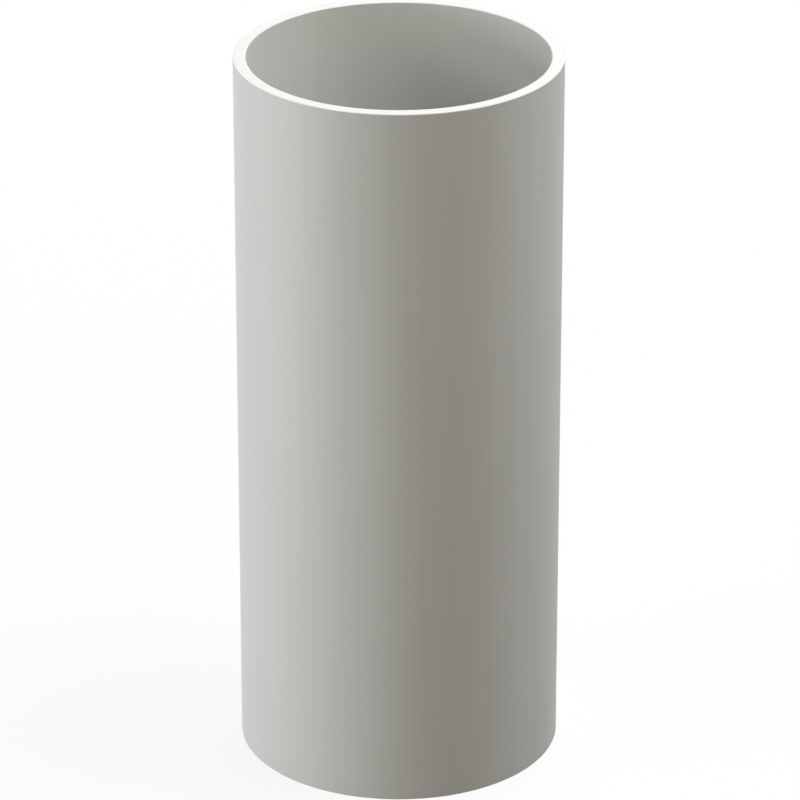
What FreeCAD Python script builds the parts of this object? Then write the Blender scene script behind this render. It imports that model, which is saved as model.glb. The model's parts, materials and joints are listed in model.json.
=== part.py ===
"""Round rainwater downpipe: a short plain-ended length, standing on one end.

The pipe is one extruded piece of rigid PVC. Its wall is a ring of even thickness, sawn square at
both ends, and the four sharp edges that the saw leaves are broken with a deburring tool.

Frame: millimetres, +Z up along the pipe. The origin is the centre of the end that it stands on.
"""

import FreeCAD
import Part

import math
import os

import Sketcher

SHEET = "sizes"
NODE = "pipe"

# Driving dimensions, in millimetres: alias, value, meaning.
DIMENSIONS = [
    ("outer_diameter", "110", "outside diameter of the wall"),
    ("wall_thickness", "4.3", "thickness of the wall"),
    ("pipe_length", "250", "length from one sawn end to the other"),
    ("edge_break", "0.2", "leg of the 45 degree break on each sawn edge"),
]
SAWN_EDGES = 4
VOLUME_TOLERANCE = 1e-6


def make_sheet(doc):
    """One row for each driving dimension: its name, its value under that alias, its meaning."""
    sheet = doc.addObject("Spreadsheet::Sheet", SHEET)
    for row, (alias, value, meaning) in enumerate(DIMENSIONS, start=1):
        sheet.set(f"A{row}", alias)
        sheet.set(f"B{row}", value)
        sheet.set(f"C{row}", meaning)
        sheet.setAlias(f"B{row}", alias)
    doc.recompute()
    return sheet


def origin_plane(body, role):
    """The plane of the body's own origin that has this role, such as XY_Plane."""
    for feature in body.Origin.OriginFeatures:
        if feature.Role == role:
            return feature
    raise ValueError(f"{body.Label} has no origin plane {role}")


def add_circle(sketch, name, expression, diameter):
    """A circle about the sketch's origin, whose diameter is bound to the sheet."""
    circle = sketch.addGeometry(Part.Circle(FreeCAD.Vector(), FreeCAD.Vector(0, 0, 1), diameter / 2))
    sketch.addConstraint(Sketcher.Constraint("Coincident", circle, 3, -1, 1))
    row = sketch.addConstraint(Sketcher.Constraint("Diameter", circle, diameter))
    sketch.renameConstraint(row, name)
    sketch.setExpression(f"Constraints.{name}", expression)


def add_wall_section(body, sheet):
    """The pipe's cross-section: two circles about one centre, with the wall between them."""
    sketch = body.newObject("Sketcher::SketchObject", "wall_section")
    sketch.AttachmentSupport = [(origin_plane(body, "XY_Plane"), "")]
    sketch.MapMode = "FlatFace"
    outside = sheet.outer_diameter
    inside = outside - 2 * sheet.wall_thickness
    add_circle(sketch, "outside", f"{SHEET}.outer_diameter", outside)
    add_circle(sketch, "inside", f"{SHEET}.outer_diameter - 2 * {SHEET}.wall_thickness", inside)
    return sketch


def add_extrusion(body, section):
    """The section carried straight up, from the end that the pipe stands on to its upper end."""
    pad = body.newObject("PartDesign::Pad", "extruded_wall")
    pad.Profile = section
    pad.setExpression("Length", f"{SHEET}.pipe_length")
    return pad


def sawn_edges(shape):
    """Names of the full circles in which the two saw cuts meet the inner and outer wall."""
    names = [
        f"Edge{number}"
        for number, edge in enumerate(shape.Edges, start=1)
        if isinstance(edge.Curve, Part.Circle) and edge.isClosed()
    ]
    if len(names) != SAWN_EDGES:
        raise ValueError(f"expected {SAWN_EDGES} sawn edges and found {len(names)}")
    return names


def add_edge_breaks(body, pad):
    """The small 45 degree break that deburring leaves on every sawn edge."""
    chamfer = body.newObject("PartDesign::Chamfer", "deburred_edges")
    chamfer.Base = (pad, sawn_edges(pad.Shape))
    chamfer.setExpression("Size", f"{SHEET}.edge_break")
    return chamfer


def make_pipe(doc, sheet):
    """The whole pipe as one body, its sizes bound to the sheet."""
    body = doc.addObject("PartDesign::Body", NODE)
    body.Label = NODE
    body.Placement = FreeCAD.Placement()
    pad = add_extrusion(body, add_wall_section(body, sheet))
    doc.recompute()
    body.Tip = add_edge_breaks(body, pad)
    doc.recompute()
    return body


def expected_volume(sheet):
    """The ring's area times its length, less the four edge breaks, each a triangle turned once."""
    outer = sheet.outer_diameter / 2
    inner = outer - sheet.wall_thickness
    leg = sheet.edge_break
    wall = math.pi * (outer**2 - inner**2) * sheet.pipe_length
    # Pappus: a triangle's area times the circle that its centroid runs round.
    triangle = leg**2 / 2
    breaks_at_one_end = triangle * 2 * math.pi * ((outer - leg / 3) + (inner + leg / 3))
    return wall - 2 * breaks_at_one_end


def check(doc, body, sheet):
    """Stops unless every object computed and the body is one valid solid of the right volume."""
    for item in doc.Objects:
        if "Invalid" in item.State or "Error" in item.State:
            raise RuntimeError(f"{item.Label} failed to compute: {item.State}")
    shape = body.Shape
    if shape.isNull() or not shape.isValid() or len(shape.Solids) != 1:
        raise RuntimeError(f"{body.Label} is not one valid solid")
    wanted = expected_volume(sheet)
    if abs(shape.Volume - wanted) > VOLUME_TOLERANCE * wanted:
        raise RuntimeError(f"{body.Label} has {shape.Volume:.1f} mm3 and should have {wanted:.1f}")


def main():
    doc = FreeCAD.newDocument("downpipe")
    sheet = make_sheet(doc)
    pipe = make_pipe(doc, sheet)
    check(doc, pipe, sheet)
    os.makedirs("parts", exist_ok=True)
    pipe.Shape.exportStep(f"parts/{pipe.Label}.step")
    print(f"{pipe.Label}: {pipe.Shape.Volume / 1000:.2f} cm3, {pipe.Shape.BoundBox}")


main()
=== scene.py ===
"""A short length of round white PVC rainwater downpipe, standing on one of its sawn ends."""

import json
import math

import bpy
import numpy as np
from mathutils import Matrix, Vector


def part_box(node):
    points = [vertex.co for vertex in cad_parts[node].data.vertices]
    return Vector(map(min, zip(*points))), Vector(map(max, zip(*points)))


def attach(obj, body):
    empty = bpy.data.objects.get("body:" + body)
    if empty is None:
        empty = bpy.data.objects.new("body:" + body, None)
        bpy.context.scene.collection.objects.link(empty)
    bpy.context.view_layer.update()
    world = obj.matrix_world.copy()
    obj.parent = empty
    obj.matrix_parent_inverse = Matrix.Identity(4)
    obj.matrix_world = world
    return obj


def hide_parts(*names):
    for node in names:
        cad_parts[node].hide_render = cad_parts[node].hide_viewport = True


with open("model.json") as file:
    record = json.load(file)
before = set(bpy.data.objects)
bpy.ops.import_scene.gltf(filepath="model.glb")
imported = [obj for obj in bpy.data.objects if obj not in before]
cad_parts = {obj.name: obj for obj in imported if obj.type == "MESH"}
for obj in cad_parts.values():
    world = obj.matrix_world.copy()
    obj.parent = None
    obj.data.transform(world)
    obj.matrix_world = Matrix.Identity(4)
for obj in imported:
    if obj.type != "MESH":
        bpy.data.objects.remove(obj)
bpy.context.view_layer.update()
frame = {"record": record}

# -------------------------------------------------------------------------------------------------
# The pipe: one length of rigid PVC, drawn hot through a round die, sized in a cooling sleeve and
# sawn square at both ends. The drawn walls are satin, with faint lines down them from the die. The
# sawn ends are matt and a little whiter, and a scraper has broken their four sharp edges.
# -------------------------------------------------------------------------------------------------

MILLIMETRE = 0.001
MICRON = 0.001 * MILLIMETRE
FULL_TURN = 2 * math.pi

pipe_low, pipe_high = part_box("pipe")
bore_mount = next(mount for mount in frame["record"]["mounts"] if mount["name"] == "bore")
outer_radius = (pipe_high.x - pipe_low.x) / 2
bore_radius = bore_mount["dims"]["r_mm"] * MILLIMETRE
wall_thickness = outer_radius - bore_radius
pipe_length = pipe_high.z - pipe_low.z

edge_radius = 0.25 * MILLIMETRE
columns_round = 720
rows_up_a_wall = 24
rows_across_an_end = 8
rows_round_an_edge = 4
first_row_gap = 0.12 * MILLIMETRE

# Where the saw blade's axis stood, in x and y, when it cut each end.
upper_blade = (0.13, -0.09)
lower_blade = (-0.15, -0.06)


def section_walk():
    """The section of the wall, walked once round from the foot of the outside: up the outside, in
    over the upper end, down the bore and out under the lower end.

    It is a rectangle, wall_thickness wide and pipe_length tall, with a quarter circle of
    edge_radius on each corner. A long wall has its rows at (1 - cos a) / 2 of its height, for even
    steps of a, so they draw together towards the ends. The outside and the upper end are worked
    out, and the rest is those turned by 180 degrees about the middle of the section.

    Returns each row's depth under the outside, its height, and its lean: the angle of its normal
    above the outward direction.
    """
    share = (1 - np.cos(np.linspace(0, math.pi, rows_up_a_wall + 1))) / 2
    first_share = first_row_gap / pipe_length
    share = np.sort(np.append(share, [first_share, 1 - first_share]))
    quarter = np.linspace(0, math.pi / 2, rows_round_an_edge + 1)[1:]
    run = edge_radius * (1 - np.cos(quarter))
    rise = edge_radius * np.sin(quarter)
    flat = np.linspace(edge_radius, wall_thickness - edge_radius, rows_across_an_end + 1)[1:]

    foot = edge_radius
    top = pipe_length - edge_radius
    depth = [0 * share, run, flat, wall_thickness - edge_radius + rise[:-1]]
    height = [foot + (top - foot) * share, top + rise, 0 * flat + pipe_length, pipe_length - run[:-1]]
    lean = [0 * share, quarter, 0 * flat + math.pi / 2, math.pi / 2 + quarter[:-1]]

    depth = np.concatenate(depth)
    height = np.concatenate(height)
    lean = np.concatenate(lean)
    depth = np.append(depth, wall_thickness - depth)
    height = np.append(height, pipe_length - height)
    lean = np.append(lean, lean + math.pi)
    return depth, height, lean


def die_lines(angle, height, seed, lines, deepest, width):
    """How far a drawn wall is sunk by the lines that the die leaves down it.

    Each line is a bell across the wall, depth * exp(-(arc / width) ** 2), where arc is how far
    round the pipe a point is from the line. Along the pipe it swells and fades, as
    0.6 + 0.4 * sin of a slow wave. All the lines are added up.
    """
    draw = np.random.default_rng(seed)
    line_angle = draw.uniform(0, FULL_TURN, lines)
    line_depth = deepest * draw.uniform(0.2, 1, lines)
    line_width = width * draw.uniform(0.6, 1.6, lines)
    waves = draw.uniform(0.3, 1.5, (lines, 1))
    start = draw.uniform(0, FULL_TURN, (lines, 1))
    arc = outer_radius * np.angle(np.exp(1j * (angle[:, None] - line_angle)))
    bell = line_depth * np.exp(-((arc / line_width) ** 2))
    swell = 0.6 + 0.4 * np.sin(FULL_TURN * waves * height / pipe_length + start)
    return bell @ swell


def saw_marks(x, y, deepest, pitch, blade):
    """How far a sawn end is sunk by the marks of the saw.

    They are arcs about the blade's axis, (1 + sin(reach / pitch turns)) / 2, where reach is the
    distance from that axis, and a second wave, longer by half again, makes them uneven.
    """
    reach = np.hypot(x - blade[0], y - blade[1])
    mark = 0.5 + 0.5 * np.sin(FULL_TURN * reach / pitch)
    uneven = 0.5 + 0.5 * np.sin(FULL_TURN * reach / (1.5 * pitch))
    return deepest * mark * uneven


def scraper_bite(angle, deepest):
    """How far an edge is sunk where the scraper bit deeper: two slow waves round the pipe, added."""
    return deepest * (0.5 + 0.3 * np.sin(5 * angle + 0.8) + 0.2 * np.sin(13 * angle + 2.0))


def downpipe_points(angle, depth, height, lean):
    """The section carried once round the pipe's axis.

    A point is at (r cos angle, r sin angle, height), where r is the outer radius less its depth. It
    is then sunk along its normal, by the die lines on the walls, the saw marks on the ends, and
    the scraper on the edges, each in proportion to how squarely the point faces that way.
    """
    outward = np.cos(lean)
    upward = np.sin(lean)
    radius = outer_radius - depth
    x = np.cos(angle)[:, None] * radius
    y = np.sin(angle)[:, None] * radius

    outside = die_lines(angle, height, seed=4, lines=90, deepest=8 * MICRON, width=0.8 * MILLIMETRE)
    bore = die_lines(angle, height, seed=9, lines=70, deepest=12 * MICRON, width=1.0 * MILLIMETRE)
    upper = saw_marks(x, y, deepest=8 * MICRON, pitch=3.1 * MILLIMETRE, blade=upper_blade)
    lower = saw_marks(x, y, deepest=8 * MICRON, pitch=2.8 * MILLIMETRE, blade=lower_blade)
    bite = scraper_bite(angle, deepest=60 * MICRON)[:, None]
    sunk = np.where(outward > 0, outside, bore) * np.abs(outward)
    sunk += np.where(upward > 0, upper, lower) * np.abs(upward)
    sunk += bite * np.sin(2 * lean) ** 4

    radius = radius - outward * sunk
    rise = pipe_low.z + height - upward * sunk
    return np.stack([np.cos(angle)[:, None] * radius, np.sin(angle)[:, None] * radius, rise], axis=-1)


def downpipe_mesh(drawn, sawn):
    """The grid of points as a closed mesh of four-sided faces, with the sawn ends in the second
    material. Its UV map is the grid unrolled: U goes round the pipe and V along the section, where
    the ends and edges get more room than their size."""
    least_end_slope = 0.3
    end_room = 4
    margin = 0.003
    angle = np.arange(columns_round) * FULL_TURN / columns_round
    depth, height, lean = section_walk()
    points = downpipe_points(angle, depth, height, lean)
    rows = len(depth)
    column, row = np.meshgrid(np.arange(columns_round), np.arange(rows), indexing="ij")
    next_column = (column + 1) % columns_round
    next_row = (row + 1) % rows
    faces = [column * rows + row, next_column * rows + row,
             next_column * rows + next_row, column * rows + next_row]
    made = bpy.data.meshes.new("downpipe")
    made.from_pydata(points.reshape(-1, 3), [], np.stack(faces, axis=-1).reshape(-1, 4))

    middle_lean = lean + (np.append(lean[1:], FULL_TURN) - lean) / 2
    is_end = np.abs(np.sin(middle_lean)) > least_end_slope
    made.materials.append(drawn)
    made.materials.append(sawn)
    made.polygons.foreach_set("material_index", np.tile(is_end, columns_round).astype(np.int32))

    stride = np.hypot(np.append(depth[1:], depth[0]) - depth, np.append(height[1:], height[0]) - height)
    room_given = np.where(is_end, end_room, 1) * stride
    along = np.append(0, np.cumsum(room_given)) / room_given.sum()
    u = np.stack([column, column + 1, column + 1, column], axis=-1) / columns_round
    v = along[np.stack([row, row, row + 1, row + 1], axis=-1)]
    unrolled = margin + (1 - 2 * margin) * np.stack([u, v], axis=-1)
    made.uv_layers.new(name="OFBake").uv.foreach_set("vector", unrolled.astype(np.float32).ravel())
    made.shade_smooth()
    return made


class Shade:
    """What varies over a surface: a number, colour, vector or shader from one socket of a node."""

    def __init__(self, tree, socket=None):
        self.tree = tree
        self.socket = socket

    def node(self, kind, settings, inputs, output=0):
        """Adds a node, makes its settings, then fills its sockets with values or links."""
        added = self.tree.nodes.new(kind)
        for name, value in settings.items():
            setattr(added, name, value)
        for name, value in inputs.items():
            if isinstance(value, Shade):
                self.tree.links.new(value.socket, added.inputs[name])
            else:
                added.inputs[name].default_value = value
        return Shade(self.tree, added.outputs[output] if added.outputs else None)

    def maths(self, operation, first, second):
        return self.node("ShaderNodeMath", {"operation": operation}, {0: first, 1: second})

    def __add__(self, other):
        return self.maths("ADD", self, other)

    def __radd__(self, other):
        return self.maths("ADD", other, self)

    def __sub__(self, other):
        return self.maths("SUBTRACT", self, other)

    def __rsub__(self, other):
        return self.maths("SUBTRACT", other, self)

    def __mul__(self, other):
        return self.maths("MULTIPLY", self, other)

    def __rmul__(self, other):
        return self.maths("MULTIPLY", other, self)

    def rise(self, start, stop):
        """0 up to start, 1 from stop, and smooth between them."""
        sockets = {"Value": self, "From Min": start, "From Max": stop}
        return self.node("ShaderNodeMapRange", {"interpolation_type": "SMOOTHSTEP"}, sockets)

    def between(self, first, second):
        """The first colour where this is 0, the second where it is 1."""
        return self.node("ShaderNodeMix", {"data_type": "RGBA"}, {0: self, 6: first, 7: second}, 2)

    def stretched(self, x, y, z):
        """These coordinates with each axis scaled."""
        return self.node("ShaderNodeMapping", {}, {"Vector": self, "Scale": (x, y, z)})

    def noise(self, size, detail):
        """Soft noise from 0 to 1 whose lumps are about this size, in metres."""
        sockets = {"Vector": self, "Scale": 1 / size, "Detail": detail}
        return self.node("ShaderNodeTexNoise", {}, sockets)


def new_material(name):
    """An empty material, and a Shade to add its nodes with."""
    material = bpy.data.materials.new(name)
    material.use_nodes = True
    material.node_tree.nodes.clear()
    return material, Shade(material.node_tree)


def height_bump(height, deepest):
    """The normal of a surface raised by up to deepest, in metres, where height is 1."""
    return height.node("ShaderNodeBump", {}, {"Height": height, "Distance": deepest})


# Drawn wall: white with a trace of yellow. Long streaks down the wall change its tone and gloss, soft
# clouds its tone alone, and rubbing in stacks and racks has left a few duller patches.
drawn_white = (0.757, 0.762, 0.749, 1)
drawn_shaded = (0.718, 0.723, 0.706, 1)
drawn_pvc, paint = new_material("drawn_pvc")
place = paint.node("ShaderNodeTexCoord", {}, {}, "Object")
streaks = place.stretched(1, 1, 0.004).noise(1.6 * MILLIMETRE, 2)
fine_streaks = place.stretched(1, 1, 0.003).noise(0.5 * MILLIMETRE, 1)
clouds = place.stretched(1, 1, 0.35).noise(40 * MILLIMETRE, 3)
rubbed = place.stretched(1, 1, 0.6).noise(17 * MILLIMETRE, 5).rise(0.58, 0.72)
tone = clouds.rise(0.3, 0.7) * 0.4 + streaks.rise(0.35, 0.7) * 0.3 + fine_streaks.rise(0.35, 0.65) * 0.3
grain = streaks * 0.7 + fine_streaks * 0.3
pvc_surface = paint.node("ShaderNodeBsdfPrincipled", {}, {
    "Base Color": tone.between(drawn_white, drawn_shaded),
    "Roughness": 0.44 + grain * 0.18 + rubbed * 0.06,
    "IOR": 1.5,
    "Normal": height_bump(grain, 14 * MICRON),
})
paint.node("ShaderNodeOutputMaterial", {}, {"Surface": pvc_surface})

# Sawn end: the cut has torn the surface, so it is whiter and scatters more. The teeth leave fine
# arcs about the blade's axis, and the noise breaks them up. Both ends have the upper blade's arcs.
sawn_white = (0.81, 0.81, 0.80, 1)
sawn_shaded = (0.76, 0.76, 0.745, 1)
sawn_pvc, paint = new_material("sawn_pvc")
place = paint.node("ShaderNodeTexCoord", {}, {}, "Object")
from_blade = (-upper_blade[0], -upper_blade[1], 0)
blade = paint.node("ShaderNodeMapping", {}, {"Vector": place, "Location": from_blade})
teeth = paint.node("ShaderNodeTexWave", {"wave_type": "RINGS", "rings_direction": "Z"}, {
    "Vector": blade,
    "Scale": 0.35 / MILLIMETRE,
    "Distortion": 2.2,
    "Detail": 3.0,
    "Detail Scale": 1.5,
})
torn = place.noise(0.7 * MILLIMETRE, 4)
cut = teeth * 0.55 + torn * 0.45
sawn_surface = paint.node("ShaderNodeBsdfPrincipled", {}, {
    "Base Color": cut.rise(0.3, 0.8).between(sawn_shaded, sawn_white),
    "Roughness": 0.62 + torn * 0.16,
    "IOR": 1.5,
    "Normal": height_bump(cut, 10 * MICRON),
})
paint.node("ShaderNodeOutputMaterial", {}, {"Surface": sawn_surface})

downpipe = bpy.data.objects.new("downpipe", downpipe_mesh(drawn_pvc, sawn_pvc))
bpy.context.scene.collection.objects.link(downpipe)
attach(downpipe, "root")
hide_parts("pipe")

# -------------------------------------------------------------------------------------------------
# The studio floor and backdrop: white paper. It looks white to the camera and in reflections, and
# still takes the pipe's shadow beside it. What it throws back at the pipe is dimmer, as if the
# paper were cut close round the pipe and lay on a grey table.
# -------------------------------------------------------------------------------------------------


def looked_at(paint):
    """1 where a ray from the camera, a reflection or clear plastic arrives, and 0 for other rays."""
    rays = [paint.node("ShaderNodeLightPath", {}, {}, f"Is {kind} Ray")
            for kind in ("Camera", "Glossy", "Transmission")]
    return paint.maths("MINIMUM", rays[0] + rays[1] + rays[2], 1.0)


floor_reach = 6.0
shadow_share = 0.13
shadow_reach = 0.6
pure_white = (1, 1, 1, 1)
paper_white = (0.92, 0.92, 0.92, 1)
table_grey = (0.12, 0.12, 0.12, 1)
room_light = 0.02
floor_mesh = bpy.data.meshes.new("floor")
floor_corners = [(-floor_reach, -floor_reach, 0), (floor_reach, -floor_reach, 0),
                 (floor_reach, floor_reach, 0), (-floor_reach, floor_reach, 0)]
floor_mesh.from_pydata(floor_corners, [], [(0, 1, 2, 3)])
floor_paper, paint = new_material("floor_paper")
place = paint.node("ShaderNodeTexCoord", {}, {}, "Object")
away = paint.node("ShaderNodeVectorMath", {"operation": "LENGTH"}, {0: place}, "Value")
beside_pipe = 1 - away.rise(2 * outer_radius, shadow_reach)
under_pipe = 1 - away.rise(bore_radius, outer_radius)
takes_shadow = shadow_share * beside_pipe + (1 - shadow_share) * under_pipe
white = paint.node("ShaderNodeEmission", {}, {"Color": pure_white, "Strength": 1.0})
shadowed = paint.node("ShaderNodeBsdfDiffuse", {}, {"Color": paper_white})
paper = paint.node("ShaderNodeMixShader", {}, {0: takes_shadow, 1: white, 2: shadowed})
table = paint.node("ShaderNodeBsdfDiffuse", {}, {"Color": table_grey})
floor_surface = paint.node("ShaderNodeMixShader", {}, {0: looked_at(paint), 1: table, 2: paper})
paint.node("ShaderNodeOutputMaterial", {}, {"Surface": floor_surface})
floor_mesh.materials.append(floor_paper)
floor = bpy.data.objects.new("floor", floor_mesh)
bpy.context.scene.collection.objects.link(floor)

studio = bpy.data.worlds.new("studio")
studio.use_nodes = True
studio.node_tree.nodes.clear()
paint = Shade(studio.node_tree)
dim_room = paint.node("ShaderNodeBackground", {}, {"Color": pure_white, "Strength": room_light})
backdrop = paint.node("ShaderNodeBackground", {}, {"Color": pure_white, "Strength": 1.0})
studio_surface = paint.node("ShaderNodeMixShader", {}, {0: looked_at(paint), 1: dim_room, 2: backdrop})
paint.node("ShaderNodeOutputWorld", {}, {"Surface": studio_surface})
bpy.context.scene.world = studio

# -------------------------------------------------------------------------------------------------
# The lamps: softboxes round the pipe. Three on the left light the wall most, one high on the right
# lights the upper end, one behind lifts the far side, and a weak warm one fills the front.
# -------------------------------------------------------------------------------------------------

pipe_middle = Vector((0, 0, pipe_length / 2))


def from_pipe(azimuth, elevation):
    """The direction from the pipe's middle, in degrees: azimuth 0 is the camera's side and 90 the
    right, and elevation is above the level."""
    turn = math.radians(azimuth)
    rise = math.radians(elevation)
    level = math.cos(rise)
    return Vector((math.sin(turn) * level, -math.cos(turn) * level, math.sin(rise)))


def softbox(name, azimuth, elevation, distance, width, height, watts, colour):
    """A flat lamp that faces the pipe's middle from there, and that the camera can't see."""
    lamp = bpy.data.lights.new(name, "AREA")
    lamp.shape = "RECTANGLE"
    lamp.size = width
    lamp.size_y = height
    lamp.energy = watts
    lamp.color = colour
    stand = bpy.data.objects.new(name, lamp)
    stand.location = pipe_middle + distance * from_pipe(azimuth, elevation)
    stand.rotation_euler = from_pipe(azimuth, elevation).to_track_quat("Z", "Y").to_euler()
    stand.visible_camera = False
    bpy.context.scene.collection.objects.link(stand)


neutral = (1.0, 1.0, 1.0)
cool = (0.98, 0.995, 1.0)
warm = (1.0, 0.88, 0.56)

softbox("left", -78, 5, 2.0, 1.6, 0.5, watts=13.0, colour=cool)
softbox("left_low", -78, 1, 2.0, 1.2, 0.3, watts=8.4, colour=cool)
softbox("left_high", -70, 22, 2.0, 1.0, 0.5, watts=6.9, colour=cool)
softbox("right_top", 90, 65, 1.6, 1.0, 1.0, watts=22.0, colour=neutral)
softbox("behind", 175, 40, 2.0, 1.2, 1.2, watts=16.0, colour=neutral)
softbox("front_fill", 10, 18, 2.0, 1.2, 0.8, watts=4.8, colour=warm)

# -------------------------------------------------------------------------------------------------
# The camera: a long lens, a little above the pipe, level and square to it.
# -------------------------------------------------------------------------------------------------

camera_elevation = 24.333
camera_distance = 1.7447
aim = Vector((0.00036, 0, 0.12468))
camera_data = bpy.data.cameras.new("camera")
camera_data.sensor_width = 36
camera_data.lens = 230.4
camera = bpy.data.objects.new("camera", camera_data)
camera.location = aim + camera_distance * from_pipe(0, camera_elevation)
camera.rotation_euler = (math.radians(90 - camera_elevation), 0, 0)
bpy.context.scene.collection.objects.link(camera)
bpy.context.scene.camera = camera
bpy.context.scene.view_settings.view_transform = "Standard"
